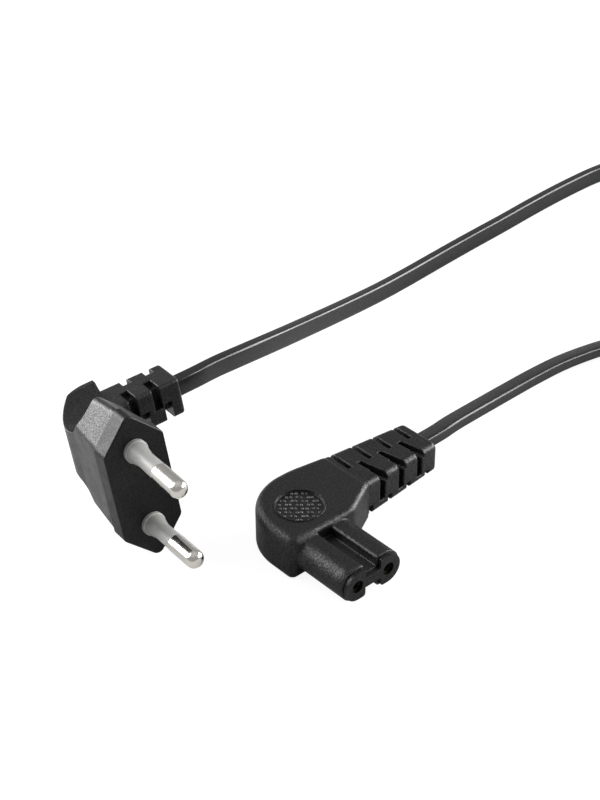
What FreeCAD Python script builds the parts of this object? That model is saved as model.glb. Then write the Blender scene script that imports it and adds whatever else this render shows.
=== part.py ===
import FreeCAD, Part
import math
import os
import Sketcher

# Mains lead with an angled figure-eight connector and an angled two-pin plug.
# Millimetres, +Z up. The origin is the bottom centre of the connector: its two sockets
# look to -Y, its cord leaves to +X. The plug stands upright behind it, pins to -Y.

Vec = FreeCAD.Vector
doc = FreeCAD.newDocument("FigureEightLead")
sheet = doc.addObject("Spreadsheet::Sheet", "Sizes")

SIZES = [
    # connector, outside
    ("body_length", 48.8),
    ("body_depth", 34.8),
    ("body_height", 10.0),
    ("nose_reach", 14.7),
    ("front_wall", 17.7),
    ("cheek_radius", 3.5),
    ("block_length", 26.0),
    ("back_taper", 1.5),
    ("back_flat", 9.4),
    ("corner_radius", 13.5),
    ("top_edge_radius", 1.5),
    ("side_top_radius", 1.8),
    ("bottom_edge_radius", 0.9),
    ("grip_radius", 5.4),
    ("grip_depth", 0.5),
    ("grip_from_left", 9.7),
    ("grip_from_back", 11.7),
    # connector, nose and contacts
    ("socket_from_left", 9.15),
    ("socket_pitch", 8.6),
    ("lobe_radius", 3.8),
    ("lobe_offset", 4.15),
    ("groove_half", 1.75),
    ("web_half", 1.55),
    ("flange_thickness", 1.0),
    ("flange_inset", 0.4),
    ("core_inset", 1.0),
    ("carrier_length", 12.5),
    ("mouth_radius", 1.45),
    ("contact_outer_radius", 1.6),
    ("contact_inner_radius", 1.2),
    ("contact_length", 9.5),
    ("contact_slit", 0.5),
    ("crimp_radius", 1.3),
    ("crimp_length", 4.0),
    # connector, strain relief
    ("relief_axis_from_back", 8.3),
    ("relief_root_width", 14.4),
    ("relief_end_width", 11.4),
    ("relief_root_height", 9.2),
    ("relief_end_height", 7.2),
    ("relief_overlap", 2.0),
    ("cheek_step", 0.2),
    ("relief_edge_radius", 1.7),
    ("relief_low_radius", 0.9),
    ("relief_rim_radius", 1.1),
    ("slot_width", 1.3),
    ("slot_mouth", 2.3),
    ("slot_lean", 2.2),
    ("slot_foot", 2.6),
    ("slot_pitch", 6.1),
    ("slot_first", 27.2),
    ("core_half_width", 3.5),
    ("core_half_height", 2.1),
    ("slot_past_axis", 0.3),
    ("exit_back", 0.4),
    ("exit_up", 0.2),
    ("exit_roll", -64.0),
    # plug, outside
    ("plug_length", 34.7),
    ("plug_width", 14.0),
    ("plug_straight", 21.1),
    ("tip_radius", 1.6),
    ("tip_allowance", 0.73),
    ("plate_thickness", 4.5),
    ("plate_step", 0.35),
    ("housing_depth", 31.6),
    ("housing_draft", 5.5),
    ("rear_half_width", 5.3),
    ("rear_side", 6.6),
    ("rear_half_height", 9.1),
    ("rear_corner_radius", 10.0),
    ("scoop_radius", 8.8),
    ("scoop_offset", 14.8),
    ("scoop_back", 23.5),
    ("plug_edge_radius", 0.8),
    # plug, strain relief
    ("plug_axis_depth", 27.0),
    ("plug_axis_up", 1.3),
    ("plug_relief_reach", 22.9),
    ("plug_relief_height", 9.4),
    ("plug_relief_depth", 9.2),
    ("plug_relief_taper", 0.2),
    ("plug_slot_first", 11.0),
    ("plug_slot_pitch", 5.8),
    ("plug_slot_second", 13.3),
    ("plug_slot_width", 2.0),
    ("plug_slot_drop", 0.9),
    ("plug_slot_past_axis", 0.2),
    ("plug_core_half_height", 3.2),
    ("plug_core_half_depth", 2.1),
    # plug, pins
    ("pin_spacing", 18.6),
    ("pin_radius", 2.0),
    ("pin_reach", 19.0),
    ("pin_convergence", 1.66),
    ("pin_neck_radius", 1.45),
    ("pin_root", 7.0),
    ("pin_tip_radius", 1.7),
    ("sleeve_reach", 10.0),
    ("sleeve_gap", 0.04),
    ("collar_radius", 2.65),
    ("collar_reach", 1.0),
    ("collar_slope", 3.2),
    ("collar_chamfer", 0.2),
    ("sleeve_root_radius", 1.86),
    ("sleeve_end_radius", 1.95),
    ("collar_root", 2.0),
    ("plug_crimp_radius", 1.7),
    ("plug_crimp_length", 5.0),
    # plug, place
    ("plug_x", -40.98),
    ("plug_y", 24.35),
    ("plug_turn", -7.05),
    ("plug_tilt", -5.99),
    ("plug_lean", -5.17),
    # cord
    ("cord_tube_radius", 2.5),
    ("first_run", 6.0),
    ("last_run", 5.5),
    ("wire_radius", 1.1),
    ("wire_pitch", 2.5),
    ("coil_x", 166.6),
    ("coil_y", 12.0),
    ("coil_mean_radius", 30.0),
    ("coil_width", 16.2),
    ("coil_height", 8.8),
    ("tie_thickness", 0.7),
    ("tie_width", 7.0),
    ("tie_clearance", 0.3),
]
for row, (name, value) in enumerate(SIZES, 1):
    sheet.set("A%d" % row, name)
    sheet.set("B%d" % row, str(value))
    sheet.setAlias("B%d" % row, name)
doc.recompute()


def size(name):
    return float(getattr(sheet, name))


def value_of(text):
    return float(sheet.evalExpression(text))


def bind(obj, **expressions):
    for prop, text in expressions.items():
        obj.setExpression(prop.replace("__", "."), text)


# Helpers for sketches and features

def plane_of(body, role):
    return [f for f in body.Origin.OriginFeatures if f.Role == role][0]


def new_sketch(body, name, role, offset="0"):
    sketch = body.newObject("Sketcher::SketchObject", name)
    sketch.AttachmentSupport = [(plane_of(body, role), "")]
    sketch.MapMode = "FlatFace"
    sketch.setExpression("AttachmentOffset.Base.z", offset)
    return sketch


def pin_point(sketch, geo, pos, x_text, y_text):
    """Ties one point of a sketch to two expressions, measured from the sketch's origin."""
    for kind, text, number in (("DistanceX", x_text, 0), ("DistanceY", y_text, 1)):
        row = sketch.addConstraint(Sketcher.Constraint(kind, -1, 1, geo, pos, value_of(text)))
        label = "%s%d_%d" % ("xy"[number], geo, pos)
        sketch.renameConstraint(row, label)
        sketch.setExpression("Constraints." + label, text)


def add_polygon(sketch, corners):
    """A closed outline of straight sides; each corner is a pair of expressions."""
    first = sketch.GeometryCount
    points = [Vec(value_of(a), value_of(b), 0) for a, b in corners]
    count = len(points)
    for i in range(count):
        sketch.addGeometry(Part.LineSegment(points[i], points[(i + 1) % count]), False)
    for i in range(count):
        joint = (first + i, 2, first + (i + 1) % count, 1)
        sketch.addConstraint(Sketcher.Constraint("Coincident", *joint))
        pin_point(sketch, first + i, 1, *corners[i])


def add_circle(sketch, x_text, y_text, radius_text):
    centre = Vec(value_of(x_text), value_of(y_text), 0)
    geo = sketch.addGeometry(Part.Circle(centre, Vec(0, 0, 1), value_of(radius_text)), False)
    pin_point(sketch, geo, 3, x_text, y_text)
    row = sketch.addConstraint(Sketcher.Constraint("Radius", geo, value_of(radius_text)))
    sketch.renameConstraint(row, "radius%d" % geo)
    sketch.setExpression("Constraints.radius%d" % geo, radius_text)


def pad(body, name, sketch, length, reverse=False, both=False, draft=None):
    feature = body.newObject("PartDesign::Pad", name)
    feature.Profile = sketch
    feature.Reversed = reverse
    if both:
        feature.SideType = "Symmetric"
    feature.setExpression("Length", length)
    if draft:
        feature.setExpression("TaperAngle", draft)
    sketch.Visibility = False
    doc.recompute()
    return feature


def pocket(body, name, sketch, length, reverse=False, both=False):
    before = body.Shape.Volume
    feature = body.newObject("PartDesign::Pocket", name)
    feature.Profile = sketch
    feature.Reversed = reverse
    if both:
        feature.SideType = "Symmetric"
    feature.setExpression("Length", length)
    doc.recompute()
    if body.Shape.Volume > before - 0.01:
        raise RuntimeError(name + " removes nothing")
    return feature


def tapered_block(body, tag, ends, y_mid, z_mid, widths, heights):
    """A block along X between two places, narrower and lower at its far end."""
    near, far = ends
    plan = new_sketch(body, tag + "Plan", "XY_Plane", z_mid)
    add_polygon(plan, [
        (near, "%s - %s / 2" % (y_mid, widths[0])), (far, "%s - %s / 2" % (y_mid, widths[1])),
        (far, "%s + %s / 2" % (y_mid, widths[1])), (near, "%s + %s / 2" % (y_mid, widths[0])),
    ])
    pad(body, tag + "Pad", plan, heights[0], both=True)
    profile = new_sketch(body, tag + "Slopes", "XZ_Plane", "-" + y_mid)
    for sign in "+-":
        tall_end = "%s %s %s / 2" % (z_mid, sign, heights[0])
        low_end = "%s %s %s / 2" % (z_mid, sign, heights[1])
        clear = "%s %s %s" % (z_mid, sign, heights[0])
        add_polygon(profile, [(near, tall_end), (far, low_end), (far, clear), (near, clear)])
    return pocket(body, tag + "Taper", profile, widths[0] + " * 2", both=True)


def repeat(body, name, feature, direction, step, count):
    pattern = body.newObject("PartDesign::LinearPattern", name)
    pattern.Originals = [feature]
    pattern.Direction = (plane_of(body, direction), [""])
    pattern.Occurrences = count
    pattern.setExpression("Length", "%s * %d" % (step, count - 1))
    body.Tip = pattern
    doc.recompute()
    return pattern


def edges_where(shape, test):
    """Names of the edges whose middle and direction pass a test."""
    names = []
    for i, edge in enumerate(shape.Edges, 1):
        a, b = edge.Vertexes[0].Point, edge.Vertexes[-1].Point
        middle = edge.valueAt((edge.FirstParameter + edge.LastParameter) / 2)
        if test(edge, a, b, middle):
            names.append("Edge%d" % i)
    return names


def round_edges(body, name, base, test, radius):
    names = edges_where(base.Shape, test)
    if not names:
        raise RuntimeError(name + " finds no edge")
    feature = body.newObject("PartDesign::Fillet", name)
    feature.Base = (base, names)
    feature.setExpression("Radius", radius)
    doc.recompute()
    if "Invalid" in feature.State or not feature.Shape.isValid():
        raise RuntimeError(name + " fails")
    return feature


def cylinder(name, radius, height):
    obj = doc.addObject("Part::Cylinder", name)
    bind(obj, Radius=radius, Height=height)
    return obj


def box(name, length, width, height):
    obj = doc.addObject("Part::Box", name)
    bind(obj, Length=length, Width=width, Height=height)
    return obj


def put(obj, x, y, z):
    bind(obj, Placement__Base__x=x, Placement__Base__y=y, Placement__Base__z=z)
    return obj


def fuse(name, parts):
    obj = doc.addObject("Part::MultiFuse", name)
    obj.Shapes = parts
    obj.Refine = True
    doc.recompute()
    return obj


def cut(name, base, tool):
    obj = doc.addObject("Part::Cut", name)
    obj.Base = base
    obj.Tool = tool
    obj.Refine = True
    doc.recompute()
    return obj


def along_y(obj):
    """Turns a cylinder so that it runs to +Y from its base point."""
    obj.Placement = FreeCAD.Placement(obj.Placement.Base, FreeCAD.Rotation(Vec(1, 0, 0), -90))
    return obj


# Cord and wire paths: straight runs joined by tangent arcs

def rounded_path(points, share=0.45):
    """A wire through the points; each arc takes a share of the shorter run beside it."""
    edges = []
    radii = []
    here = points[0]
    for i in range(1, len(points) - 1):
        before = points[i] - points[i - 1]
        after = points[i + 1] - points[i]
        half_turn = before.getAngle(after) / 2
        reach = share * min(before.Length, after.Length)
        radii.append(reach / math.tan(half_turn))
        before.normalize()
        after.normalize()
        start = points[i] - before * reach
        end = points[i] + after * reach
        middle_dir = (after - before).normalize()
        bulge = radii[-1] / math.cos(half_turn) - radii[-1]
        edges.append(Part.LineSegment(here, start).toShape())
        edges.append(Part.Arc(start, points[i] + middle_dir * bulge, end).toShape())
        here = end
    edges.append(Part.LineSegment(here, points[-1]).toShape())
    return Part.Wire(edges), radii


def tube_along(name, points, radius):
    """A round solid along a rounded path, checked against its section times its length."""
    wire, radii = rounded_path(points)
    start = points[0]
    heading = points[1] - points[0]
    ring = Part.Wire(Part.makeCircle(radius, start, heading))
    solid = wire.makePipeShell([ring], True, False)
    if solid.Volume < 0:
        solid.reverse()
    ideal = math.pi * radius ** 2 * wire.Length
    if abs(solid.Volume / ideal - 1) > 0.01:
        raise RuntimeError("%s: volume %.1f, expected %.1f" % (name, solid.Volume, ideal))
    print("%-22s length %7.1f  least radius %5.1f" % (name, wire.Length, min(radii)))
    obj = doc.addObject("Part::Feature", name)
    obj.Shape = solid
    return obj


# Connector, outside

LEFT = "-Sizes.body_length / 2"
FRONT = "-Sizes.body_depth / 2"
BACK = "Sizes.body_depth / 2"
WALL = "(Sizes.nose_reach - Sizes.body_depth / 2)"
AXIS = "(Sizes.body_depth / 2 - Sizes.relief_axis_from_back)"
MID = "(Sizes.body_height / 2)"
SOCKETS = "(Sizes.socket_from_left - Sizes.body_length / 2)"

shell = doc.addObject("PartDesign::Body", "ConnectorShell")
plan = new_sketch(shell, "PlanOutline", "XY_Plane")
RIGHT = "(Sizes.block_length - Sizes.body_length / 2)"
add_polygon(plan, [
    (LEFT, WALL),
    ("Sizes.front_wall - Sizes.body_length / 2", WALL),
    (RIGHT, AXIS + " - Sizes.relief_root_width / 2 - Sizes.cheek_step"),
    (RIGHT, BACK + " - Sizes.back_taper"),
    ("Sizes.block_length - Sizes.back_flat - Sizes.body_length / 2", BACK),
    (LEFT, BACK),
])
block = pad(shell, "Block", plan, "Sizes.body_height")


def upright_at(x_text, y_text):
    x, y = value_of(x_text), value_of(y_text)
    return lambda e, a, b, m: abs(m.x - x) < 0.01 and abs(m.y - y) < 0.01


corner = round_edges(shell, "BackCorner", block, upright_at(LEFT, BACK), "Sizes.corner_radius")
bend_x = "Sizes.block_length - Sizes.back_flat - Sizes.body_length / 2"
bend = round_edges(shell, "BackBend", corner, upright_at(bend_x, BACK), "Sizes.corner_radius * 1.6")
FRONT_X = "Sizes.front_wall - Sizes.body_length / 2"
cheek = round_edges(shell, "FrontCheek", bend, upright_at(FRONT_X, WALL), "Sizes.cheek_radius")

half_length = size("body_length") / 2
block_right = size("block_length") - half_length
tall = size("body_height")


def top_rim(e, a, b, m):
    return abs(a.z - tall) < 0.01 and abs(b.z - tall) < 0.01 and abs(m.z - tall) < 0.01


def bottom_rim(e, a, b, m):
    return abs(a.z) + abs(b.z) + abs(m.z) < 0.01


wall_right = value_of(FRONT_X)
wall_y = value_of(WALL)


def on_front(e, a, b, m):
    """True on the front wall, the cheek and the slope behind it."""
    return m.y < wall_y + 0.1 or (m.x > wall_right - size("cheek_radius") and m.y < value_of(AXIS))


def off_front(e, a, b, m):
    return not on_front(e, a, b, m) and abs(m.x - block_right) > 0.1


def side_top(e, a, b, m):
    return top_rim(e, a, b, m) and off_front(e, a, b, m)


def front_top(e, a, b, m):
    return top_rim(e, a, b, m) and on_front(e, a, b, m)


def all_bottom(e, a, b, m):
    return bottom_rim(e, a, b, m) and abs(m.x - block_right) > 0.1


rim = round_edges(shell, "TopSideRim", cheek, side_top, "Sizes.side_top_radius")
rim = round_edges(shell, "TopFrontRim", rim, front_top, "Sizes.top_edge_radius")
round_edges(shell, "BottomRim", rim, all_bottom, "Sizes.bottom_edge_radius")


grip = new_sketch(shell, "GripOutline", "XY_Plane", "Sizes.body_height")
add_circle(grip, "Sizes.grip_from_left - Sizes.body_length / 2", BACK + " - Sizes.grip_from_back",
           "Sizes.grip_radius")
grip_cut = pocket(shell, "GripRecess", grip, "Sizes.grip_depth")
shell.Tip = grip_cut
doc.recompute()

# Connector, strain relief: a tapered block with slots cut by turns from the front and the back

strain_relief = doc.addObject("PartDesign::Body", "StrainRelief")
RELIEF_START = RIGHT + " - Sizes.relief_overlap"
relief = tapered_block(strain_relief, "Relief", (RELIEF_START, "Sizes.body_length / 2"), AXIS, MID,
                       ("Sizes.relief_root_width", "Sizes.relief_end_width"),
                       ("Sizes.relief_root_height", "Sizes.relief_end_height"))


def relief_top(e, a, b, m):
    return abs(a.x - b.x) > 5 and m.z > value_of(MID)


def relief_bottom(e, a, b, m):
    return abs(a.x - b.x) > 5 and m.z < value_of(MID)


def relief_rim(e, a, b, m):
    return abs(a.x - half_length) + abs(b.x - half_length) + abs(m.x - half_length) < 0.01


relief_soft = round_edges(strain_relief, "ReliefTopEdges", relief, relief_top, "Sizes.relief_edge_radius")
relief_soft = round_edges(strain_relief, "ReliefLowEdges", relief_soft, relief_bottom, "Sizes.relief_low_radius")
relief_soft = round_edges(strain_relief, "ReliefEnd", relief_soft, relief_rim, "Sizes.relief_rim_radius")

FIRST = "(Sizes.slot_first - Sizes.body_length / 2)"
SECOND = "(Sizes.slot_first + Sizes.slot_pitch / 2 - Sizes.body_length / 2)"
CORE_BACK = AXIS + " + Sizes.core_half_width"
CORE_FRONT = AXIS + " - Sizes.core_half_width"
CORE_LOW = MID + " - Sizes.core_half_height"
CORE_HIGH = MID + " + Sizes.core_half_height"
FAR_BACK = AXIS + " + Sizes.relief_root_width"
FAR_FRONT = AXIS + " - Sizes.relief_root_width"
OVER = MID + " + Sizes.body_height"
UNDER = MID + " - Sizes.body_height"

back_slot = new_sketch(strain_relief, "BackSlotShape", "YZ_Plane", FIRST)
add_polygon(back_slot, [
    (FAR_FRONT, UNDER), (FAR_BACK, UNDER), (FAR_BACK, OVER),
    (AXIS + " - Sizes.slot_past_axis", OVER), (AXIS + " - Sizes.slot_past_axis", CORE_HIGH),
    (CORE_BACK, CORE_HIGH), (CORE_BACK, CORE_LOW), (FAR_FRONT, CORE_LOW),
])
back_cut = pocket(strain_relief, "BackSlot", back_slot, "Sizes.slot_width", both=True)
repeat(strain_relief, "BackSlots", back_cut, "X_Axis", "Sizes.slot_pitch", 4)


def wedge_slot(name, floor, start, height):
    """A slot seen from above that widens and leans towards the front, cut upwards from its floor."""
    narrow = "Sizes.slot_width / 2"
    wide = "(Sizes.slot_mouth - Sizes.slot_width / 2)"
    sketch = new_sketch(strain_relief, name + "Shape", "XY_Plane", floor)
    mouth = SECOND + " + Sizes.slot_lean"
    add_polygon(sketch, [(SECOND + " - " + narrow, start), (mouth + " - " + wide, FAR_FRONT),
                         (mouth + " + " + wide, FAR_FRONT), (SECOND + " + " + narrow, start)])
    return pocket(strain_relief, name, sketch, height, reverse=True)


front_top = wedge_slot("FrontTopSlot", CORE_HIGH, AXIS + " + Sizes.slot_past_axis", "Sizes.body_height")
repeat(strain_relief, "FrontTopSlots", front_top, "X_Axis", "Sizes.slot_pitch", 3)
front_side = wedge_slot("FrontSideSlot", "Sizes.slot_foot", CORE_FRONT, "Sizes.body_height")
repeat(strain_relief, "FrontSideSlots", front_side, "X_Axis", "Sizes.slot_pitch", 3)

# Connector, nose: two round-backed lobes joined by a thin web


def half_round(name, radius, length, turn):
    """Half a cylinder along Y, its round side towards -X (turn 90) or +X (turn -90)."""
    obj = cylinder(name, radius, length)
    obj.Angle = 180
    axis_turn = FreeCAD.Rotation(Vec(0, 0, 1), turn)
    obj.Placement = FreeCAD.Placement(Vec(), FreeCAD.Rotation(Vec(1, 0, 0), -90).multiply(axis_turn))
    return obj


def figure_eight(name, inset, start, length):
    radius = "(Sizes.lobe_radius - %s)" % inset
    inner = "(Sizes.groove_half + %s)" % inset
    web = "(Sizes.web_half - %s * 0.6)" % inset
    base_y = "%s + %s" % (FRONT, start)
    parts = []
    for side, sign, turn in (("Left", "-", 90), ("Right", "+", -90)):
        lobe = half_round(name + side + "Lobe", radius, length, turn)
        put(lobe, "%s %s Sizes.lobe_offset" % (SOCKETS, sign), base_y, MID)
        flank = box(name + side + "Flank", "Sizes.lobe_offset - %s" % inner, length, "2 * " + radius)
        flank_x = {"-": "%s - Sizes.lobe_offset" % SOCKETS, "+": "%s + %s" % (SOCKETS, inner)}[sign]
        put(flank, flank_x, base_y, "%s - %s" % (MID, radius))
        parts += [lobe, flank]
    bridge = box(name + "Web", "2 * (%s + 0.5)" % inner, length, "2 * " + web)
    put(bridge, "%s - %s - 0.5" % (SOCKETS, inner), base_y, "%s - %s" % (MID, web))
    parts.append(bridge)
    return fuse(name, parts)


skin = figure_eight("NoseSkin", "0", "Sizes.flange_thickness",
                    "Sizes.nose_reach - Sizes.flange_thickness + 3")
well = figure_eight("CarrierWell", "Sizes.core_inset", "0", "Sizes.carrier_length")
flange = figure_eight("CarrierFlange", "Sizes.flange_inset", "0", "Sizes.flange_thickness")
core = figure_eight("CarrierCore", "Sizes.core_inset", "0", "Sizes.carrier_length")


def rounded_eight(name, base, inset, radius):
    """Rounds the corners of the lobes and of the web that run along Y."""
    inner = size("groove_half") + inset
    mid_x = value_of(SOCKETS)
    mid_z = size("body_height") / 2

    def at_groove(e, a, b, m):
        lengthways = abs(a.y - b.y) > 0.5 and abs(a.x - b.x) < 0.01
        return lengthways and abs(abs(m.x - mid_x) - inner) < 0.02 and abs(m.z - mid_z) > size("web_half") + 0.4

    obj = doc.addObject("Part::Fillet", name)
    obj.Base = base
    obj.Edges = [(int(n[4:]), radius, radius) for n in edges_where(base.Shape, at_groove)]
    doc.recompute()
    return obj


skin = rounded_eight("NoseSkinRounded", skin, 0, 0.8)
flange = rounded_eight("CarrierFlangeRounded", flange, size("flange_inset"), 0.7)


# Contacts: slit tubes with a crimp behind them

def contact(name, sign):
    x = "%s %s Sizes.socket_pitch / 2" % (SOCKETS, sign)
    start = "%s + Sizes.flange_thickness" % FRONT
    tube = put(along_y(cylinder(name + "Tube", "Sizes.contact_outer_radius", "Sizes.contact_length")),
               x, start, MID)
    crimp = put(along_y(cylinder(name + "Crimp", "Sizes.crimp_radius", "Sizes.crimp_length")),
                x, start + " + Sizes.contact_length", MID)
    solid = fuse(name + "Solid", [tube, crimp])
    bore = put(along_y(cylinder(name + "Bore", "Sizes.contact_inner_radius", "Sizes.contact_length - 1")),
               x, start, MID)
    slit = put(box(name + "Slit", "Sizes.contact_slit", "Sizes.contact_length - 2.5",
                   "Sizes.contact_outer_radius + 1"),
               x + " - Sizes.contact_slit / 2", start, MID)
    return cut(name, solid, fuse(name + "Void", [bore, slit])), solid


contact_left, contact_left_solid = contact("ContactLeft", "-")
contact_right, contact_right_solid = contact("ContactRight", "+")


def mouth(name, sign):
    x = "%s %s Sizes.socket_pitch / 2" % (SOCKETS, sign)
    return put(along_y(cylinder(name, "Sizes.mouth_radius", "Sizes.flange_thickness + 0.5")), x, FRONT, MID)


carrier_blank = fuse("CarrierBlank", [flange, core])
carrier_voids = fuse("CarrierVoids", [contact_left_solid, contact_right_solid,
                                      mouth("MouthLeft", "-"), mouth("MouthRight", "+")])
contact_carrier = cut("ContactCarrier", carrier_blank, carrier_voids)

# Insulated wires inside the connector

BEND_SHARE = 0.35
TWIST_RUN = 4.0
mid_z = size("body_height") / 2
relief_y = value_of(AXIS)
crimp_y = value_of(FRONT) + size("flange_thickness") + size("contact_length") + size("crimp_length")


cord_exit = Vec(half_length, relief_y + size("exit_back"), mid_z + size("exit_up"))
exit_roll = math.radians(size("exit_roll"))
exit_side = Vec(0, math.cos(exit_roll), math.sin(exit_roll))


def connector_wire(name, sign, lane):
    """From a contact back into the body, round the bend and out on the cord's own slant."""
    x = value_of(SOCKETS) + sign * size("socket_pitch") / 2
    end = cord_exit + exit_side * (lane * size("wire_pitch") / 2)
    y = relief_y + lane * size("wire_pitch") / 2
    bend = (y - crimp_y) * BEND_SHARE
    points = [Vec(x, crimp_y, mid_z), Vec(x, y - bend, mid_z), Vec(x + bend, y, mid_z),
              Vec(block_right - TWIST_RUN, y, mid_z), Vec(block_right + TWIST_RUN, end.y, end.z), end]
    return tube_along(name, points, size("wire_radius"))


wire_blue = connector_wire("connector_core_blue", -1, +1)
wire_brown = connector_wire("connector_core_brown", +1, -1)

connector_solid = fuse("ConnectorSolid", [shell, strain_relief, skin])
connector_voids = fuse("ConnectorVoids", [well, contact_left_solid, contact_right_solid, wire_blue, wire_brown])
connector_body = cut("ConnectorBody", connector_solid, connector_voids)

# Plug, in its own frame: face at y = 0, pins to -Y, cord to +X, its long side along Z

HALF = "(Sizes.plug_length / 2 + Sizes.tip_allowance)"
SIDE = "Sizes.plug_width / 2"


def hexagon(body, name, at, inset):
    sketch = new_sketch(body, name, "XZ_Plane", at)
    side = "(%s - %s)" % (SIDE, inset)
    tip = "(%s - %s * 1.4)" % (HALF, inset)
    edge = "(Sizes.plug_straight / 2)"
    add_polygon(sketch, [("0", "-" + tip), (side, "-" + edge), (side, edge),
                         ("0", tip), ("-" + side, edge), ("-" + side, "-" + edge)])
    return sketch


def lengthways_y(e, a, b, m):
    return abs(a.y - b.y) > 0.6 * e.Length and abs(a.y - b.y) > 1


def near_tip(e, a, b, m):
    return lengthways_y(e, a, b, m) and abs(m.x) < 1


def off_tip(e, a, b, m):
    return lengthways_y(e, a, b, m) and abs(m.x) > 3


plate = doc.addObject("PartDesign::Body", "PlugPlate")
plate_pad = pad(plate, "PlatePad", hexagon(plate, "PlateOutline", "0", "0"), "Sizes.plate_thickness", reverse=True)
plate_tips = round_edges(plate, "PlateTips", plate_pad, near_tip, "Sizes.tip_radius")
plate_sides = round_edges(plate, "PlateSides", plate_tips, off_tip, "Sizes.tip_radius")


def front_face(e, a, b, m):
    return abs(a.y) + abs(b.y) + abs(m.y) < 0.01


round_edges(plate, "PlateFace", plate_sides, front_face, "Sizes.plate_step")

housing = doc.addObject("PartDesign::Body", "PlugHousing")
outline = hexagon(housing, "HousingOutline", "-Sizes.plate_thickness", "Sizes.plate_step")
taper = pad(housing, "TaperedHead", outline, "Sizes.scoop_back - Sizes.plate_thickness", reverse=True,
            draft="-Sizes.housing_draft")
head_tips = round_edges(housing, "HeadTips", taper, near_tip, "Sizes.tip_radius")
round_edges(housing, "HeadSides", head_tips, off_tip, "Sizes.tip_radius")

rear = new_sketch(housing, "RearOutline", "XY_Plane")
rear_start = "(Sizes.plate_thickness + 6)"
add_polygon(rear, [
    ("-Sizes.rear_half_width", rear_start),
    ("Sizes.rear_half_width", rear_start),
    ("Sizes.rear_side", "Sizes.plug_axis_depth - Sizes.plug_relief_depth / 2"),
    ("Sizes.rear_side", "Sizes.housing_depth"),
    ("-Sizes.rear_half_width", "Sizes.housing_depth"),
])
rear_block = pad(housing, "RearBlock", rear, "Sizes.rear_half_height * 2", both=True)


def rear_corner(e, a, b, m):
    return abs(m.x + size("rear_half_width")) < 0.01 and abs(m.y - size("housing_depth")) < 0.01 and abs(m.z) < 0.1


round_edges(housing, "RearCorner", rear_block, rear_corner, "Sizes.rear_corner_radius")
scoops = new_sketch(housing, "ScoopOutline", "YZ_Plane")
add_circle(scoops, "Sizes.scoop_back", "Sizes.scoop_offset", "Sizes.scoop_radius")
add_circle(scoops, "Sizes.scoop_back", "-Sizes.scoop_offset", "Sizes.scoop_radius")
pocket(housing, "Scoops", scoops, "Sizes.plug_width * 3", both=True)


plug_strain_relief = doc.addObject("PartDesign::Body", "PlugStrainRelief")
PLUG_AXIS = "Sizes.plug_axis_depth"
PLUG_UP = "Sizes.plug_axis_up"
PLUG_START = "(Sizes.rear_side - Sizes.relief_overlap)"
PLUG_SPAN = (PLUG_START, "Sizes.plug_relief_reach")
plug_relief = tapered_block(plug_strain_relief, "PlugRelief", PLUG_SPAN, PLUG_AXIS, PLUG_UP,
                            ("Sizes.plug_relief_depth", "(Sizes.plug_relief_depth - Sizes.plug_relief_taper)"),
                            ("Sizes.plug_relief_height", "(Sizes.plug_relief_height - Sizes.plug_relief_taper)"))
reach = size("plug_relief_reach")


def plug_relief_edge(e, a, b, m):
    lengthways = abs(a.x - b.x) > 5
    rim_end = abs(a.x - reach) < 0.01 and abs(b.x - reach) < 0.01
    return lengthways or rim_end


round_edges(plug_strain_relief, "PlugReliefEdges", plug_relief, plug_relief_edge, "Sizes.plug_edge_radius")

PLUG_FRONT = PLUG_AXIS + " - Sizes.plug_relief_depth"
PLUG_BACK = PLUG_AXIS + " + Sizes.plug_relief_depth"
PLUG_OVER = PLUG_UP + " + Sizes.plug_relief_height"
PLUG_UNDER = PLUG_UP + " - Sizes.plug_relief_height"
PLUG_CORE_FRONT = PLUG_AXIS + " - Sizes.plug_core_half_depth"
PLUG_CORE_BACK = PLUG_AXIS + " + Sizes.plug_core_half_depth"
PLUG_CORE_LOW = PLUG_UP + " - Sizes.plug_core_half_height"
PLUG_CORE_HIGH = PLUG_UP + " + Sizes.plug_core_half_height"
TOP_SLOT_END = PLUG_AXIS + " - Sizes.plug_slot_past_axis"
TOP_SLOT_FOOT = PLUG_UP + " - Sizes.plug_slot_drop"

slot_a = new_sketch(plug_strain_relief, "PlugTopSlotShape", "YZ_Plane", "Sizes.plug_slot_first")
add_polygon(slot_a, [
    (PLUG_FRONT, PLUG_OVER), (TOP_SLOT_END, PLUG_OVER), (TOP_SLOT_END, PLUG_CORE_HIGH),
    (PLUG_CORE_FRONT, PLUG_CORE_HIGH), (PLUG_CORE_FRONT, TOP_SLOT_FOOT), (PLUG_FRONT, TOP_SLOT_FOOT),
])
cut_a = pocket(plug_strain_relief, "PlugTopSlot", slot_a, "Sizes.plug_slot_width", both=True)
repeat(plug_strain_relief, "PlugTopSlots", cut_a, "X_Axis", "Sizes.plug_slot_pitch", 2)
slot_b = new_sketch(plug_strain_relief, "PlugBackSlotShape", "YZ_Plane", "Sizes.plug_slot_second")
add_polygon(slot_b, [
    (PLUG_BACK, PLUG_OVER), (PLUG_BACK, PLUG_UNDER), (PLUG_FRONT, PLUG_UNDER), (PLUG_FRONT, PLUG_UP),
    (PLUG_CORE_FRONT, PLUG_UP), (PLUG_CORE_FRONT, PLUG_CORE_LOW),
    (PLUG_CORE_BACK, PLUG_CORE_LOW), (PLUG_CORE_BACK, PLUG_OVER),
])
cut_b = pocket(plug_strain_relief, "PlugBackSlot", slot_b, "Sizes.plug_slot_width", both=True)
repeat(plug_strain_relief, "PlugBackSlots", cut_b, "X_Axis", "Sizes.plug_slot_pitch", 2)
housing_solid = fuse("HousingSolid", [housing, plug_strain_relief])


# Pins and their sleeves: turned profiles about their own axis, then set in the plug

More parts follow.
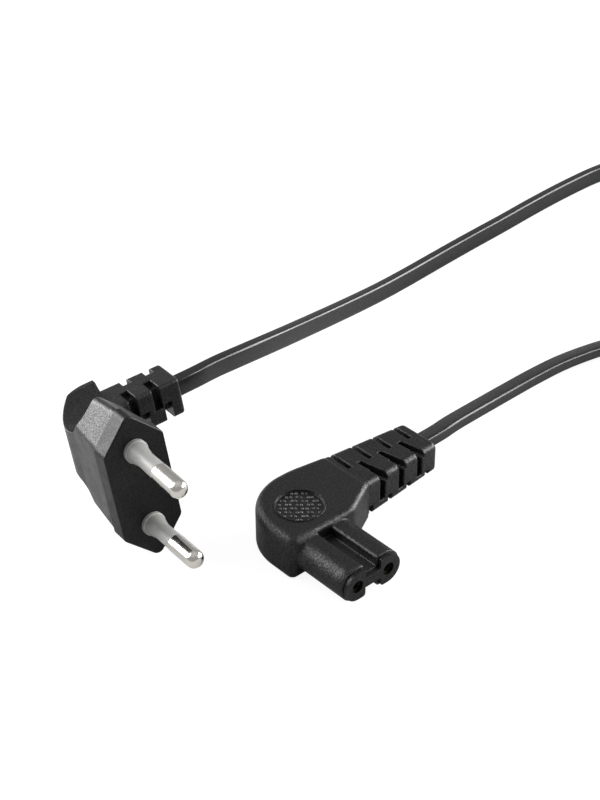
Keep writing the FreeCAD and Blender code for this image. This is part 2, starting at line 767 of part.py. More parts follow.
def turned(name, profile, soft=None):
    body = doc.addObject("PartDesign::Body", name)
    sketch = new_sketch(body, name + "Profile", "XY_Plane")
    add_polygon(sketch, profile)
    turn = body.newObject("PartDesign::Revolution", name + "Turned")
    turn.Profile = sketch
    turn.ReferenceAxis = (plane_of(body, "Y_Axis"), [""])
    turn.Angle = 360
    doc.recompute()
    if soft:
        round_edges(body, name + "Soft", turn, soft[0], soft[1])
    return body


NECK = "Sizes.pin_neck_radius"
SLEEVE_IN = "(Sizes.pin_neck_radius + Sizes.sleeve_gap)"


def pin(name):
    return turned(name, [
        ("0", "-Sizes.pin_reach"), ("Sizes.pin_radius", "-Sizes.pin_reach"),
        ("Sizes.pin_radius", "-Sizes.sleeve_reach"), (NECK, "-Sizes.sleeve_reach"),
        (NECK, "Sizes.pin_root"), ("Sizes.plug_crimp_radius", "Sizes.pin_root"),
        ("Sizes.plug_crimp_radius", "Sizes.pin_root + Sizes.plug_crimp_length"),
        ("0", "Sizes.pin_root + Sizes.plug_crimp_length"),
    ], (lambda e, a, b, m: abs(a.y + size("pin_reach")) < 0.01 and abs(m.y + size("pin_reach")) < 0.01,
        "Sizes.pin_tip_radius"))


def sleeve(name):
    slope_end = "(Sizes.collar_reach + Sizes.collar_slope)"
    return turned(name, [
        (SLEEVE_IN, "-Sizes.sleeve_reach + Sizes.sleeve_gap"),
        ("Sizes.sleeve_end_radius", "-Sizes.sleeve_reach + Sizes.sleeve_gap"),
        ("Sizes.sleeve_root_radius", "-" + slope_end),
        ("Sizes.collar_radius - Sizes.collar_chamfer", "-Sizes.collar_reach"),
        ("Sizes.collar_radius", "-Sizes.collar_reach + Sizes.collar_chamfer"),
        ("Sizes.collar_radius", "Sizes.collar_root"),
        (SLEEVE_IN, "Sizes.collar_root"),
    ])


def seat_pin(obj, sign):
    """Stands a turned piece at its socket in the face, leaning so that the tips converge."""
    lean = FreeCAD.Rotation(Vec(1, 0, 0), sign * size("pin_convergence"))
    obj.Placement = FreeCAD.Placement(Vec(0, 0, sign * size("pin_spacing") / 2), lean)
    doc.recompute()
    return obj


pin_upper = seat_pin(pin("PinUpper"), +1)
pin_lower = seat_pin(pin("PinLower"), -1)
sleeve_upper = seat_pin(sleeve("SleeveUpper"), +1)
sleeve_lower = seat_pin(sleeve("SleeveLower"), -1)

wire_start = size("pin_root") + size("plug_crimp_length")


def plug_wire(name, sign):
    lean = math.radians(size("pin_convergence"))
    z_start = sign * (size("pin_spacing") / 2 + wire_start * math.sin(lean))
    y_start = wire_start * math.cos(lean)
    axis_y = size("plug_axis_depth")
    lane = size("plug_axis_up") + sign * size("wire_pitch") / 2
    along_pin = Vec(0, math.cos(lean), sign * math.sin(lean))
    start = Vec(0, y_start, z_start)
    points = [start, start + along_pin * 3, Vec(0, axis_y - 5, lane + sign * 1.2),
              Vec(1, axis_y - 1.2, lane), Vec(5, axis_y, lane), Vec(reach, axis_y, lane)]
    return tube_along(name, points, size("wire_radius"))


plug_blue = plug_wire("plug_core_blue", -1)
plug_brown = plug_wire("plug_core_brown", +1)

plug_fittings = [pin_upper, pin_lower, sleeve_upper, sleeve_lower]
plate_voids = fuse("PlateVoids", plug_fittings)
front_plate = cut("FrontPlate", plate, plate_voids)
housing_voids = fuse("HousingVoids", [pin_upper, pin_lower, plug_blue, plug_brown])
plug_housing = cut("PlugHousingFinal", housing_solid, housing_voids)

plug_rotation = FreeCAD.Rotation(size("plug_turn"), size("plug_tilt"), size("plug_lean"))
plug_outside = Part.makeCompound([plate.Shape, housing.Shape])
plug_outside.Placement = FreeCAD.Placement(Vec(), plug_rotation)
plug_height = -plug_outside.optimalBoundingBox().ZMin
plug_place = FreeCAD.Placement(Vec(size("plug_x"), size("plug_y"), plug_height), plug_rotation)


def in_place(name, source):
    """The same piece, standing where the plug stands."""
    obj = doc.addObject("Part::Compound", name)
    obj.Links = [source]
    obj.Placement = plug_place
    return obj


# Cord: hand-chosen points on each side of the coil, in the frame of the whole part

lay = size("cord_tube_radius")
coil_foot = size("tie_thickness") + lay
coil_top = size("tie_thickness") + size("coil_height") - lay
exit_plug = plug_place.multVec(Vec(reach, size("plug_axis_depth"), size("plug_axis_up")))
away_plug = plug_place.Rotation.multVec(Vec(1, 0, 0))

FROM_CONNECTOR = [
    (38.0, 10.5, 4.7), (49.0, 11.8, 3.8), (62.0, 12.9, 3.0), (78.0, 13.2, lay), (96.0, 10.6, lay),
    (112.0, 3.4, lay), (126.0, -7.0, lay), (138.6, -16.6, lay + 0.1), (152.6, -21.0, coil_foot - 0.1),
    (166.6, -21.0, coil_foot),
]
TO_PLUG = [
    (198.6, 12.0, coil_top), (199.6, 29.0, coil_top - 1.4), (200.6, 46.0, 3.6), (196.4, 61.6, lay),
    (184.8, 72.6, lay), (169.4, 76.4, lay), (152.0, 75.8, lay), (135.0, 74.4, lay), (118.6, 72.9, 2.6),
    (102.0, 71.5, 2.7), (86.0, 69.3, 3.1), (69.0, 66.0, 4.7), (52.6, 62.2, 7.5), (36.0, 57.6, 11.2),
    (20.6, 52.9, 15.0), (8.6, 49.6, 18.1), (-0.5, 47.9, 19.5),
]
strand_points = [cord_exit, cord_exit + Vec(size("first_run"), 0, 0)] + [Vec(*p) for p in FROM_CONNECTOR]
cord_at_connector = tube_along("cord_at_connector", strand_points, size("cord_tube_radius"))
strand_points = [Vec(*p) for p in TO_PLUG] + [exit_plug + away_plug * size("last_run"), exit_plug]
cord_at_plug = tube_along("cord_at_plug", strand_points, size("cord_tube_radius"))

# Coil: the rest of the cord, wound up and tied

COIL_OUTER = "(Sizes.coil_mean_radius + Sizes.coil_width / 2)"
COIL_INNER = "(Sizes.coil_mean_radius - Sizes.coil_width / 2)"
coil_disc = put(cylinder("CoilDisc", COIL_OUTER, "Sizes.coil_height"),
                "Sizes.coil_x", "Sizes.coil_y", "Sizes.tie_thickness")
coil_eye = put(cylinder("CoilEye", COIL_INNER, "Sizes.coil_height"),
               "Sizes.coil_x", "Sizes.coil_y", "Sizes.tie_thickness")
cord_coil = cut("CordCoil", coil_disc, fuse("CoilVoids", [coil_eye, cord_at_connector, cord_at_plug]))

GAP = "Sizes.tie_clearance"
THICK = "Sizes.tie_thickness"
tie_outer = put(box("TieOuter", "Sizes.coil_width + 2 * (%s + %s)" % (GAP, THICK), "Sizes.tie_width",
                    "Sizes.coil_height + 2 * " + THICK),
                "Sizes.coil_x - %s - %s - %s" % (COIL_OUTER, GAP, THICK),
                "Sizes.coil_y - Sizes.tie_width / 2", "0")
tie_inner = put(box("TieInner", "Sizes.coil_width + 2 * " + GAP, "Sizes.tie_width", "Sizes.coil_height"),
                "Sizes.coil_x - %s - %s" % (COIL_OUTER, GAP),
                "Sizes.coil_y - Sizes.tie_width / 2", THICK)
coil_tie = cut("CoilTie", tie_outer, tie_inner)

NODES = {
    "connector_body": connector_body,
    "contact_carrier": contact_carrier,
    "contact_left": contact_left,
    "contact_right": contact_right,
    "connector_core_blue": wire_blue,
    "connector_core_brown": wire_brown,
    "cord_at_connector": cord_at_connector,
    "cord_coil": cord_coil,
    "coil_tie": coil_tie,
    "cord_at_plug": cord_at_plug,
    "plug_housing": in_place("PlugHousingPlaced", plug_housing),
    "plug_front_plate": in_place("PlugFrontPlatePlaced", front_plate),
    "pin_upper": in_place("PinUpperPlaced", pin_upper),
    "pin_lower": in_place("PinLowerPlaced", pin_lower),
    "pin_sleeve_upper": in_place("SleeveUpperPlaced", sleeve_upper),
    "pin_sleeve_lower": in_place("SleeveLowerPlaced", sleeve_lower),
    "plug_core_blue": in_place("PlugWireBluePlaced", plug_blue),
    "plug_core_brown": in_place("PlugWireBrownPlaced", plug_brown),
}
doc.recompute()

for obj in doc.Objects:
    if "Invalid" in obj.State or "Error" in obj.State:
        raise RuntimeError(obj.Name + ": " + ", ".join(obj.State))

os.makedirs("parts", exist_ok=True)
for label, obj in NODES.items():
    obj.Label = label
    shape = obj.Shape
    if shape.isNull() or not shape.isValid() or len(shape.Solids) != 1 or shape.Volume <= 0:
        raise RuntimeError(label + " is not one valid solid")
    shape.exportStep("parts/%s.step" % label)
    box_of = shape.optimalBoundingBox()
    print("%-22s %9.1f mm3  x %7.2f %7.2f  y %7.2f %7.2f  z %6.2f %6.2f" % (
        label, shape.Volume, box_of.XMin, box_of.XMax, box_of.YMin, box_of.YMax, box_of.ZMin, box_of.ZMax))
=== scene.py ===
import bpy
import math
from mathutils import Matrix, Quaternion, Vector


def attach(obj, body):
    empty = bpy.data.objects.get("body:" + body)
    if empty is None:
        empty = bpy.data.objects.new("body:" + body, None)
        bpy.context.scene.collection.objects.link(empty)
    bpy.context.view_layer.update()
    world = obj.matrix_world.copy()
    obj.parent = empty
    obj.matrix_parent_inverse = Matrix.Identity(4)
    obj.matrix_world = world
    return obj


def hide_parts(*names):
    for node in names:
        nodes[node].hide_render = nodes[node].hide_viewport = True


# A mains lead: angled figure-eight connector in front, angled two-pin plug standing behind it,
# both on one flat twin cord. Metres, +Z up, the connector's bottom centre at the origin.

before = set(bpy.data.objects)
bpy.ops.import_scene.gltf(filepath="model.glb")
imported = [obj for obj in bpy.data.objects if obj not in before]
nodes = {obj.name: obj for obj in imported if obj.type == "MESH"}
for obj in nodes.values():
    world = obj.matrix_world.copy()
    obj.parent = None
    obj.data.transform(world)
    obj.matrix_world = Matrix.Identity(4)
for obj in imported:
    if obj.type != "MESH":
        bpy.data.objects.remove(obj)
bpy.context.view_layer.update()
scene = bpy.context.scene
scene.view_settings.view_transform = "Standard"

MM = 0.001


def mm(*values):
    return Vector(values) * MM


# Camera

IMAGE_LONG_SIDE = 800
FOCAL_PIXELS = 1600
CAMERA_PLACE = mm(-190.72, -195.21, 216.24)
CAMERA_RIGHT = Vector((0.7487, -0.6629, -0.0066))
CAMERA_UP = Vector((0.3739, 0.4140, 0.8299))
SENSOR_WIDTH = 36

camera_data = bpy.data.cameras.new("camera")
camera_data.sensor_width = SENSOR_WIDTH
camera_data.lens = FOCAL_PIXELS / IMAGE_LONG_SIDE * SENSOR_WIDTH
camera_data.clip_start = 0.01
camera = bpy.data.objects.new("camera", camera_data)
scene.collection.objects.link(camera)
back_axis = CAMERA_RIGHT.cross(CAMERA_UP).normalized()
up_axis = back_axis.cross(CAMERA_RIGHT).normalized()
turn = Matrix((CAMERA_RIGHT.normalized(), up_axis, back_axis)).transposed()
camera.matrix_world = Matrix.Translation(CAMERA_PLACE) @ turn.to_4x4()
scene.camera = camera


# Helpers for meshes

def add_mesh(name, verts, faces, smooth=True):
    mesh = bpy.data.meshes.new(name)
    mesh.from_pydata([tuple(v) for v in verts], [], faces)
    mesh.validate()
    mesh.update()
    if smooth:
        mesh.shade_smooth()
    obj = bpy.data.objects.new(name, mesh)
    scene.collection.objects.link(obj)
    return obj


def sweep(name, rings):
    """Joins rings of equally many points into a skin, closed at both ends."""
    count = len(rings[0])
    verts = [v for ring in rings for v in ring]
    faces = []
    for i in range(len(rings) - 1):
        for j in range(count):
            k = (j + 1) % count
            faces.append((i * count + j, i * count + k, (i + 1) * count + k, (i + 1) * count + j))
    faces.append(tuple(reversed(range(count))))
    faces.append(tuple(range((len(rings) - 1) * count, len(rings) * count)))
    return add_mesh(name, verts, faces)


# Cord, in millimetres: close to the route of the part's own tubes, lower where the flat cord lies on the table

CORD_WIDTH = 4.9
CORD_HEIGHT = 2.75
CORD_CORNER = 0.75
ON_EDGE = 2.5
EXIT_CONNECTOR = Vector((24.4, 9.5, 5.2))
FIRST_RUN = Vector((6, 0, 0))
EXIT_PLUG = Vector((-14.9446, 48.3432, 18.835))
LAST_RUN = Vector((0.987021, -0.122065, 0.104355)) * 5.5

TIE_THICKNESS = 0.7
COIL_CENTRE = Vector((166.6, 12.0, 0.0))
COIL_MIDDLE = 30.0
COIL_PITCH = 5.35
COIL_LAYER = 2.9
COIL_FOOT = TIE_THICKNESS + CORD_HEIGHT / 2
COIL_TOP = COIL_FOOT + 2 * COIL_LAYER
COIL_TURNS = 7.25
COIL_STEPS = 20
CHANGE_OF_LAYER = (0.55, 0.72)
CHANGE_OF_RADIUS = (0.75, 0.98)

FROM_CONNECTOR = [
    (35.8, 10.4, 4.9), (42.5, 11.15, 4.3), (49.7, 11.9, 3.65), (58.9, 12.6, 3.1), (68.0, 13.0, 2.8),
    (80.0, 13.0, 2.4), (96.0, 10.2, 2.0), (112.0, 3.0, 1.8), (126.0, -7.2, 1.8),
    (138.6, -16.6, 1.9), (152.6, -22.4, COIL_FOOT),
]
TO_PLUG = [
    (198.6, 29.0, COIL_TOP - 1.4), (200.6, 46.0, 4.2), (196.4, 61.6, ON_EDGE), (184.8, 72.0, ON_EDGE),
    (169.4, 75.6, ON_EDGE), (152.0, 75.3, ON_EDGE), (136.0, 74.2, ON_EDGE), (121.9, 72.8, ON_EDGE),
    (111.2, 72.0, ON_EDGE), (100.5, 71.1, ON_EDGE), (89.6, 69.7, 2.8), (78.5, 67.85, 3.45), (67.3, 65.5, 4.75),
    (56.1, 62.95, 6.6), (45.1, 60.15, 8.85), (34.2, 57.15, 11.35), (23.7, 54.0, 14.0), (13.9, 51.4, 16.3),
    (5.2, 49.7, 17.9), (-2.6, 48.8, 18.83),
]


def step_between(x, low, high):
    """0 below low, 1 above high, smooth in between."""
    t = min(1.0, max(0.0, (x - low) / (high - low)))
    return t * t * (3 - 2 * t)


def coil_points():
    """Control points of the wound part: turns going in at the bottom, out above them, and the rest on top.

    A change of layer or radius is made in the stated share of the turn before it.
    """
    inner, outer = COIL_MIDDLE - COIL_PITCH, COIL_MIDDLE + COIL_PITCH
    on_top = COIL_MIDDLE + COIL_PITCH / 2
    turns = [(outer, 0), (COIL_MIDDLE, 0), (inner, 0),
             (inner, 1), (COIL_MIDDLE, 1), (outer, 1),
             (on_top, 2), (on_top, 2)]
    # the spline runs this much inside its control points
    shrink = (1 + math.cos(math.pi / COIL_STEPS)) / 2
    points = []
    for i in range(int(COIL_TURNS * COIL_STEPS) + 1):
        number, part = divmod(i / COIL_STEPS, 1.0)
        here, after = turns[int(number)], turns[min(int(number) + 1, len(turns) - 1)]
        layer = here[1] + (after[1] - here[1]) * step_between(part, *CHANGE_OF_LAYER)
        radius = here[0] + (after[0] - here[0]) * step_between(part, *CHANGE_OF_RADIUS)
        angle = -math.pi / 2 + 2 * math.pi * i / COIL_STEPS
        direction = Vector((math.cos(angle), math.sin(angle), 0))
        height = Vector((0, 0, COIL_FOOT + layer * COIL_LAYER))
        points.append(COIL_CENTRE + direction * radius / shrink + height)
    return points


def cord_route():
    """Control points of the whole cord, from the connector to the plug."""
    start = [EXIT_CONNECTOR, EXIT_CONNECTOR + FIRST_RUN] + [Vector(p) for p in FROM_CONNECTOR]
    end = [Vector(p) for p in TO_PLUG] + [EXIT_PLUG + LAST_RUN, EXIT_PLUG]
    return start + coil_points() + end


def smooth_path(points):
    """Points along a NURBS spline that has the given control points."""
    curve = bpy.data.curves.new("path", "CURVE")
    curve.dimensions = "3D"
    spline = curve.splines.new("NURBS")
    spline.points.add(len(points) - 1)
    for control, point in zip(spline.points, points):
        control.co = (*point, 1)
    spline.order_u = 3
    spline.use_endpoint_u = True
    spline.resolution_u = 8
    holder = bpy.data.objects.new("path", curve)
    scene.collection.objects.link(holder)
    mesh = bpy.data.meshes.new_from_object(holder)
    line = [v.co.copy() for v in mesh.vertices]
    bpy.data.objects.remove(holder)
    bpy.data.meshes.remove(mesh)
    return line


def arc_lengths(line):
    """Length from the start to each point of a line."""
    total, lengths = 0.0, [0.0]
    for a, b in zip(line, line[1:]):
        total += (b - a).length
        lengths.append(total)
    return lengths


def flat_section(width, height, corner, steps=7):
    """Corner points of a rectangle with round corners, once round."""
    points = []
    for quarter, (sx, sy) in enumerate(((1, 1), (-1, 1), (-1, -1), (1, -1))):
        for i in range(steps + 1):
            a = math.pi / 2 * (quarter + i / steps)
            points.append((sx * (width / 2 - corner) + corner * math.cos(a),
                           sy * (height / 2 - corner) + corner * math.sin(a)))
    return points


# Turn of the wide side from lying flat, in degrees, and the lengths of cord over which it changes

ROLL_AT_CONNECTOR = -16.0
ROLL_AT_PLUG = -90.0
ROLL_AT_EDGE = -84.0
CONNECTOR_TO_FLAT = (72, 118)
PLUG_TO_EDGE = (20, 130)
EDGE_TO_FLAT = (192, 252)


def cord_roll(from_start, to_end):
    near_connector = ROLL_AT_CONNECTOR * (1 - step_between(from_start, *CONNECTOR_TO_FLAT))
    near_plug = ROLL_AT_PLUG + (ROLL_AT_EDGE - ROLL_AT_PLUG) * step_between(to_end, *PLUG_TO_EDGE)
    return near_connector + near_plug * (1 - step_between(to_end, *EDGE_TO_FLAT))


def half_section(roll):
    """How far the turned section reaches below its middle."""
    wide = (CORD_WIDTH / 2 - CORD_CORNER) * abs(math.sin(roll))
    return wide + (CORD_HEIGHT / 2 - CORD_CORNER) * abs(math.cos(roll)) + CORD_CORNER


def build_cord():
    """The flat cord, its centre line and its length, with no part of it below the floor."""
    line = smooth_path(cord_route())
    lengths = arc_lengths(line)
    section = flat_section(CORD_WIDTH, CORD_HEIGHT, CORD_CORNER)
    rings = []
    for i, point in enumerate(line):
        tangent = (line[min(i + 1, len(line) - 1)] - line[max(i - 1, 0)]).normalized()
        side = Vector((0, 0, 1)).cross(tangent).normalized()
        roll = math.radians(cord_roll(lengths[i], lengths[-1] - lengths[i]))
        side = Quaternion(tangent, roll) @ side
        over = tangent.cross(side)
        point.z = max(point.z, half_section(roll))
        rings.append([(point + side * u + over * v) * MM for u, v in section])
    cord = sweep("flat_cord", rings)
    return cord, [p * MM for p in line], lengths[-1] * MM


cord, cord_path, cord_length = build_cord()
print("cord length", round(cord_length, 4))
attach(cord, "root")
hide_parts("cord_at_connector", "cord_coil", "cord_at_plug")


# Grip pad on the connector's top: small raised dots inside a thin raised ring

GRIP_CENTRE = Vector((-14.7, 5.7, 9.5))
GRIP_RADIUS = 5.4
GRIP_DEPTH = 0.5
EDGE_OUTSIDE = 0.03
EDGE_THICKNESS = 0.16
DOT_ACROSS = Vector((0.7487, -0.6629, 0))
DOT_ALONG = Vector((0.6629, 0.7487, 0))
DOT_PERIOD = 2.35
DOT_PAIR = 0.85
DOT_ROW = 1.3
DOT_RADIUS = 0.36
DOT_HEIGHT = 0.36
DOT_SHIFT = -0.15
DOT_WANDER = 0.06
DOT_SPREAD = 0.15
DOT_MARGIN = 0.35
DOT_SIDES = 10
DOT_RINGS = [(1.0, -0.05), (0.86, 0.5), (0.5, 0.86)]


def dot_places():
    """Place and radius of each dot: in pairs, each row set half a period to the side of the last."""
    places = []
    for row in range(-4, 4):
        for pair in range(-3, 4):
            for half in (-0.5, 0.5):
                uneven = 7.0 * row + 3.0 * pair + 5.0 * half
                across = (pair + 0.5 * (row % 2)) * DOT_PERIOD + half * DOT_PAIR + DOT_SHIFT
                across += DOT_WANDER * math.sin(uneven)
                along = (row + 0.5) * DOT_ROW + DOT_WANDER * math.cos(uneven)
                place = DOT_ACROSS * across + DOT_ALONG * along
                if place.length < GRIP_RADIUS - DOT_MARGIN:
                    places.append((place, DOT_RADIUS * (1 + DOT_SPREAD * math.sin(uneven))))
    return places


def grip_dots():
    """Each dot is a low dome of rings, with one point on top."""
    verts, faces = [], []
    sides = DOT_SIDES
    for place, radius in dot_places():
        first = len(verts)
        for share, height in DOT_RINGS:
            for i in range(sides):
                a = 2 * math.pi * i / sides
                offset = Vector((radius * share * math.cos(a), radius * share * math.sin(a), height * DOT_HEIGHT))
                verts.append((GRIP_CENTRE + place + offset) * MM)
        top = len(verts)
        verts.append((GRIP_CENTRE + place + Vector((0, 0, DOT_HEIGHT))) * MM)
        for ring in range(len(DOT_RINGS) - 1):
            for i in range(sides):
                j = (i + 1) % sides
                low = first + ring * sides
                faces.append((low + i, low + j, low + sides + j, low + sides + i))
        for i in range(sides):
            faces.append((top - sides + i, top - sides + (i + 1) % sides, top))
    return add_mesh("grip_dots", verts, faces)


def round_ring(name, centre, radius, thickness, steps=72, sides=8):
    verts, faces = [], []
    for i in range(steps):
        a = 2 * math.pi * i / steps
        for j in range(sides):
            b = 2 * math.pi * j / sides
            far = radius + thickness * math.cos(b)
            verts.append((centre + Vector((far * math.cos(a), far * math.sin(a), thickness * math.sin(b)))) * MM)
            k, m = (i + 1) % steps, (j + 1) % sides
            faces.append((i * sides + j, k * sides + j, k * sides + m, i * sides + m))
    return add_mesh(name, verts, faces)


dots = grip_dots()
grip_edge = round_ring("grip_edge", GRIP_CENTRE + Vector((0, 0, GRIP_DEPTH)), GRIP_RADIUS + EDGE_OUTSIDE,
                       EDGE_THICKNESS)
for piece in (dots, grip_edge):
    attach(piece, "root")


# Thin vinyl over the wires, where their channels open through the mouldings

SKIN_REACH = 4.0
SKIN_LIFT = 0.07
CONNECTOR_BROWN_OPEN = [Vector((7.06, 8.99, 7.27)), Vector((11.8, 8.79, 7.34))]
PLUG_BROWN_OPEN = [Vector((-39.64, 41.91, 25.45)), Vector((-39.02, 44.54, 22.77))]
PLUG_BLUE_OPEN = [Vector((-37.94, 39.73, 6.7))]


def skin_over(name, wire, places):
    """A copy of the wire's surface near the places, lifted off it."""
    holder = nodes[wire]
    mesh = holder.data
    turned = holder.matrix_world.to_3x3()
    mesh.calc_loop_triangles()
    known, verts, faces = {}, [], []
    for face in mesh.loop_triangles:
        corners = [holder.matrix_world @ mesh.vertices[i].co for i in face.vertices]
        tests = corners + [sum(corners, Vector()) / 3]
        if min((t - place * MM).length for t in tests for place in places) > SKIN_REACH * MM:
            continue
        for i, corner in zip(face.vertices, corners):
            if i not in known:
                known[i] = len(verts)
                verts.append(corner + (turned @ mesh.vertices[i].normal).normalized() * SKIN_LIFT * MM)
        faces.append(tuple(known[i] for i in face.vertices))
    skin = add_mesh(name, verts, faces)
    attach(skin, "root")
    return skin


connector_skin = skin_over("skin_connector_brown", "connector_core_brown", CONNECTOR_BROWN_OPEN)
plug_skins = [
    skin_over("skin_plug_brown", "plug_core_brown", PLUG_BROWN_OPEN),
    skin_over("skin_plug_blue", "plug_core_blue", PLUG_BLUE_OPEN),
]


# Materials: lengths in metres, noise scales per metre

GRAIN_DETAIL = 3.0
VINYL_GRAIN_DEPTH = 0.0002
ROUGHNESS_SCALE = 350
GLOSS_SCALE = 2600
WIDE_EDGE_TO = -0.0215
EDGE_FROM = -0.017


def new_material(name):
    material = bpy.data.materials.new(name)
    material.use_nodes = True
    tree = material.node_tree
    return material, tree, tree.nodes["Principled BSDF"]


def grain(tree, shader, scale, strength, distance):
    """Fine moulded grain as bump; returns the coordinates that it uses."""
    coords = tree.nodes.new("ShaderNodeTexCoord")
    noise = tree.nodes.new("ShaderNodeTexNoise")
    noise.inputs["Scale"].default_value = scale
    noise.inputs["Detail"].default_value = GRAIN_DETAIL
    bump = tree.nodes.new("ShaderNodeBump")
    bump.inputs["Strength"].default_value = strength
    bump.inputs["Distance"].default_value = distance
    tree.links.new(coords.outputs["Object"], noise.inputs["Vector"])
    tree.links.new(noise.outputs["Fac"], bump.inputs["Height"])
    tree.links.new(bump.outputs["Normal"], shader.inputs["Normal"])
    return coords


def varied(tree, coords, target, scale, low, high):
    """Slow variation of one number over the surface."""
    noise = tree.nodes.new("ShaderNodeTexNoise")
    noise.inputs["Scale"].default_value = scale
    spread = tree.nodes.new("ShaderNodeMapRange")
    spread.inputs["From Min"].default_value = 0.3
    spread.inputs["From Max"].default_value = 0.7
    spread.inputs["To Min"].default_value = low
    spread.inputs["To Max"].default_value = high
    tree.links.new(coords.outputs["Object"], noise.inputs["Vector"])
    tree.links.new(noise.outputs["Fac"], spread.inputs["Value"])
    tree.links.new(spread.outputs["Result"], target)


def black_vinyl(name, level, roughness, grain_scale, grain_strength, gloss=0.5, speckle=0.5, edge=0.0,
                wide_edge=0.0):
    """Black moulded plastic. Its edges look rounded by edge, and by wide_edge at the connector's left end."""
    material, tree, shader = new_material(name)
    shader.inputs["Specular IOR Level"].default_value = gloss
    shader.inputs["Base Color"].default_value = (level, level, level * 1.04, 1)
    coords = grain(tree, shader, grain_scale, grain_strength, VINYL_GRAIN_DEPTH)
    varied(tree, coords, shader.inputs["Roughness"], ROUGHNESS_SCALE, roughness - 0.05, roughness + 0.06)
    varied(tree, coords, shader.inputs["Specular IOR Level"], GLOSS_SCALE,
           gloss * (1 - speckle), gloss * (1 + speckle))
    if edge:
        soft = tree.nodes.new("ShaderNodeBevel")
        soft.samples = 6
        soft.inputs["Radius"].default_value = edge
        if wide_edge:
            split = tree.nodes.new("ShaderNodeSeparateXYZ")
            reach = tree.nodes.new("ShaderNodeMapRange")
            reach.inputs["From Min"].default_value = WIDE_EDGE_TO
            reach.inputs["From Max"].default_value = EDGE_FROM
            reach.inputs["To Min"].default_value = wide_edge
            reach.inputs["To Max"].default_value = edge
            tree.links.new(coords.outputs["Object"], split.inputs["Vector"])
            tree.links.new(split.outputs["X"], reach.inputs["Value"])
            tree.links.new(reach.outputs["Result"], soft.inputs["Radius"])
        tree.links.new(soft.outputs["Normal"], tree.nodes["Bump"].inputs["Normal"])
    return material


def metal(name, colour, roughness):
    material, tree, shader = new_material(name)
    shader.inputs["Base Color"].default_value = (*colour, 1)
    shader.inputs["Metallic"].default_value = 1.0
    coords = grain(tree, shader, 900, 0.05, 0.00004)
    varied(tree, coords, shader.inputs["Roughness"], 300, roughness - 0.05, roughness + 0.05)
    return material


def wire_plastic(name, colour):
    material, tree, shader = new_material(name)
    shader.inputs["Base Color"].default_value = (*colour, 1)
    coords = grain(tree, shader, 1500, 0.1, 0.00005)
    varied(tree, coords, shader.inputs["Roughness"], 300, 0.3, 0.42)
    return material


def sleeve_plastic():
    material, tree, shader = new_material("milky_sleeve")
    shader.inputs["Base Color"].default_value = (0.37, 0.37, 0.355, 1)
    shader.inputs["Subsurface Weight"].default_value = 0.35
    shader.inputs["Subsurface Radius"].default_value = (0.0012, 0.001, 0.0008)
    coords = grain(tree, shader, 1200, 0.12, 0.00006)
    varied(tree, coords, shader.inputs["Roughness"], 260, 0.32, 0.45)
    return material


VINYL = black_vinyl("connector_vinyl", 0.005, 0.33, 1900, 0.5, edge=0.0006, wide_edge=0.0028)
PLUG_VINYL = black_vinyl("plug_vinyl", 0.010, 0.33, 1900, 0.5, edge=0.0004)
PLATE_VINYL = black_vinyl("plate_vinyl", 0.005, 0.38, 2400, 0.2, gloss=0.32, speckle=0.3)
CARRIER = black_vinyl("carrier_plastic", 0.004, 0.36, 2200, 0.3, gloss=0.35)
SHEATH = black_vinyl("cord_sheath", 0.005, 0.25, 1800, 0.05, gloss=0.68, speckle=0.12)
# painted sheen: the dots are the connector's black vinyl, given a base ten times lighter to stand in for the
# highlights on them
DOTS = black_vinyl("grip_dots_painted_sheen", 0.05, 0.3, 2300, 0.1, gloss=0.8)
TIE = black_vinyl("tie_strip", 0.02, 0.5, 1800, 0.3)
NICKEL = metal("nickel_plate", (0.80, 0.77, 0.72), 0.2)
BRASS = metal("contact_brass", (0.20, 0.16, 0.10), 0.4)
BLUE = wire_plastic("wire_blue", (0.02, 0.07, 0.26))
BROWN = wire_plastic("wire_brown", (0.09, 0.032, 0.014))
SLEEVE = sleeve_plastic()

FINISH = {
    "connector_body": VINYL, "contact_carrier": CARRIER, "contact_left": BRASS, "contact_right": BRASS,
    "connector_core_blue": BLUE, "connector_core_brown": BROWN, "coil_tie": TIE,
    "plug_housing": PLUG_VINYL, "plug_front_plate": PLATE_VINYL, "pin_upper": NICKEL, "pin_lower": NICKEL,
    "pin_sleeve_upper": SLEEVE, "pin_sleeve_lower": SLEEVE, "plug_core_blue": BLUE, "plug_core_brown": BROWN,
}
for name, material in FINISH.items():
    mesh = nodes[name].data
    mesh.materials.clear()
    mesh.materials.append(material)
cord.data.materials.append(SHEATH)
dots.data.materials.append(DOTS)
for piece in (grip_edge, connector_skin):
    piece.data.materials.append(VINYL)
for skin in plug_skins:
    skin.data.materials.append(PLUG_VINYL)


# Floor, backdrop and light

FLOOR_HALF = 1.2
FLOOR_LEVEL = 0.55
FLOOR_ROUGHNESS = 0.9
WHITE_SHARE = 0.6
WHITE_STRENGTH = 1.5


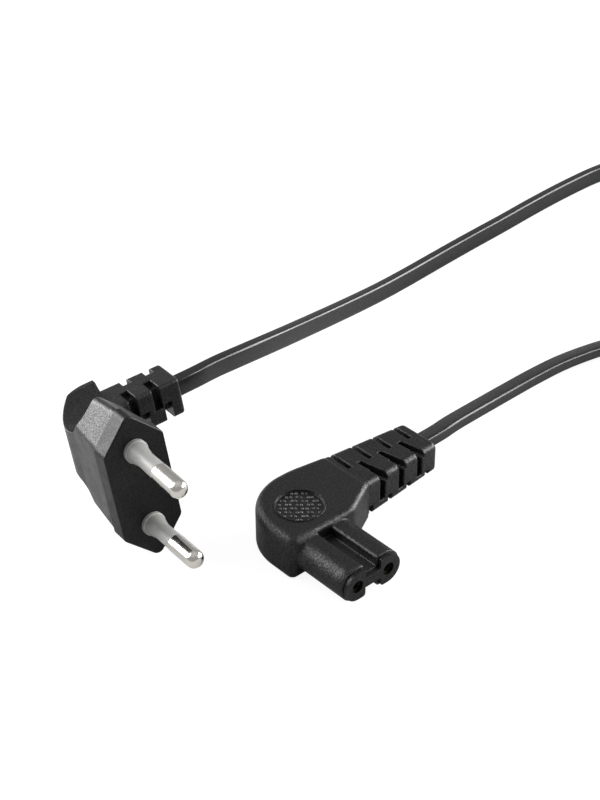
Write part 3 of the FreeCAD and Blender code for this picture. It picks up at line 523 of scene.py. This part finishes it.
def pale_floor(name):
    """A pale surface; the camera sees a share of it as plain white, so that shadows on it stay faint."""
    material, tree, shader = new_material(name)
    shader.inputs["Base Color"].default_value = (FLOOR_LEVEL, FLOOR_LEVEL, FLOOR_LEVEL, 1)
    shader.inputs["Roughness"].default_value = FLOOR_ROUGHNESS
    shader.inputs["Specular IOR Level"].default_value = 0.0
    white = tree.nodes.new("ShaderNodeEmission")
    white.inputs["Color"].default_value = (1, 1, 1, 1)
    white.inputs["Strength"].default_value = WHITE_STRENGTH
    rays = tree.nodes.new("ShaderNodeLightPath")
    share = tree.nodes.new("ShaderNodeMath")
    share.operation = "MULTIPLY"
    share.inputs[1].default_value = WHITE_SHARE
    mix = tree.nodes.new("ShaderNodeMixShader")
    tree.links.new(rays.outputs["Is Camera Ray"], share.inputs[0])
    tree.links.new(share.outputs["Value"], mix.inputs["Fac"])
    tree.links.new(shader.outputs["BSDF"], mix.inputs[1])
    tree.links.new(white.outputs["Emission"], mix.inputs[2])
    tree.links.new(mix.outputs["Shader"], tree.nodes["Material Output"].inputs["Surface"])
    return material


FLOOR_CORNERS = [(-FLOOR_HALF, -FLOOR_HALF, 0), (FLOOR_HALF, -FLOOR_HALF, 0),
                 (FLOOR_HALF, FLOOR_HALF, 0), (-FLOOR_HALF, FLOOR_HALF, 0)]
floor = add_mesh("floor", FLOOR_CORNERS, [(0, 1, 2, 3)], smooth=False)
floor.data.materials.append(pale_floor("floor_white"))


TARGET = (0.0, 0.02, 0.01)
LAMPS = [
    # name, place, width, height, watts
    ("back_left", (-0.27, 0.81, 0.22), 0.65, 0.42, 6.2),
    ("high_left", (-0.45, 0.54, 0.50), 0.5, 0.5, 4.6),
    ("right", (0.84, -0.24, 0.28), 0.55, 0.5, 8.0),
    ("front_right", (0.52, -0.62, 0.40), 0.35, 0.3, 2.8),
]


def area_light(name, place, width, height, power):
    data = bpy.data.lights.new(name, "AREA")
    data.shape = "RECTANGLE"
    data.size = width
    data.size_y = height
    data.energy = power
    lamp = bpy.data.objects.new(name, data)
    lamp.location = place
    lamp.rotation_mode = "QUATERNION"
    lamp.rotation_quaternion = (Vector(TARGET) - Vector(place)).to_track_quat("-Z", "Y")
    scene.collection.objects.link(lamp)


for lamp_row in LAMPS:
    area_light(*lamp_row)

# World: grey below, lighter above; the camera sees plain white

SKY_LOW = 0.34
SKY_MIDDLE = 0.36
SKY_MIDDLE_PLACE = 0.62
SKY_HIGH = 0.6

world = bpy.data.worlds.new("studio")
scene.world = world
world.use_nodes = True
sky = world.node_tree
backdrop = sky.nodes["Background"]
backdrop.inputs["Strength"].default_value = 1.0
where = sky.nodes.new("ShaderNodeTexCoord")
split = sky.nodes.new("ShaderNodeSeparateXYZ")
ramp = sky.nodes.new("ShaderNodeValToRGB")
ramp.color_ramp.elements[0].position = 0.0
ramp.color_ramp.elements[0].color = (SKY_LOW, SKY_LOW, SKY_LOW, 1)
ramp.color_ramp.elements[1].position = 1.0
ramp.color_ramp.elements[1].color = (SKY_HIGH, SKY_HIGH, SKY_HIGH, 1)
middle = ramp.color_ramp.elements.new(SKY_MIDDLE_PLACE)
middle.color = (SKY_MIDDLE, SKY_MIDDLE, SKY_MIDDLE, 1)
sky.links.new(where.outputs["Generated"], split.inputs["Vector"])
sky.links.new(split.outputs["Z"], ramp.inputs["Fac"])
sky.links.new(ramp.outputs["Color"], backdrop.inputs["Color"])
white = sky.nodes.new("ShaderNodeBackground")
white.inputs["Color"].default_value = (1, 1, 1, 1)
rays = sky.nodes.new("ShaderNodeLightPath")
seen = sky.nodes.new("ShaderNodeMixShader")
sky.links.new(rays.outputs["Is Camera Ray"], seen.inputs["Fac"])
sky.links.new(backdrop.outputs["Background"], seen.inputs[1])
sky.links.new(white.outputs["Background"], seen.inputs[2])
sky.links.new(seen.outputs["Shader"], sky.nodes["World Output"].inputs["Surface"])
